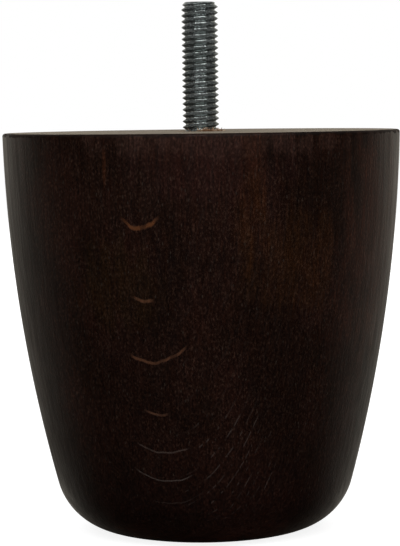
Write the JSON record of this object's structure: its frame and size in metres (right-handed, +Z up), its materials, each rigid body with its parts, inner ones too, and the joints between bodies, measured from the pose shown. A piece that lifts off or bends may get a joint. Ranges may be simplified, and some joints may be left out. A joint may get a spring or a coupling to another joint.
{
  "type": "wooden furniture foot",
  "caption": "Round tapered furniture foot in dark stained wood, with a rounded toe, a flat raw top and a threaded steel stud that screws it to a sofa or cabinet.",
  "frame": {"origin": "centre of the base, on the floor", "axes": "+Z up the turning axis, through the stud; the foot is round, so +X and +Y are free"},
  "size_m": [0.085, 0.085, 0.113],
  "materials": {
    "stained_wood": "satin",
    "zinc_plated_steel": "satin"
  },
  "bodies": {
    "root": {"turned_foot": "stained_wood", "hanger_bolt": "zinc_plated_steel"}
  },
  "joints": []
}
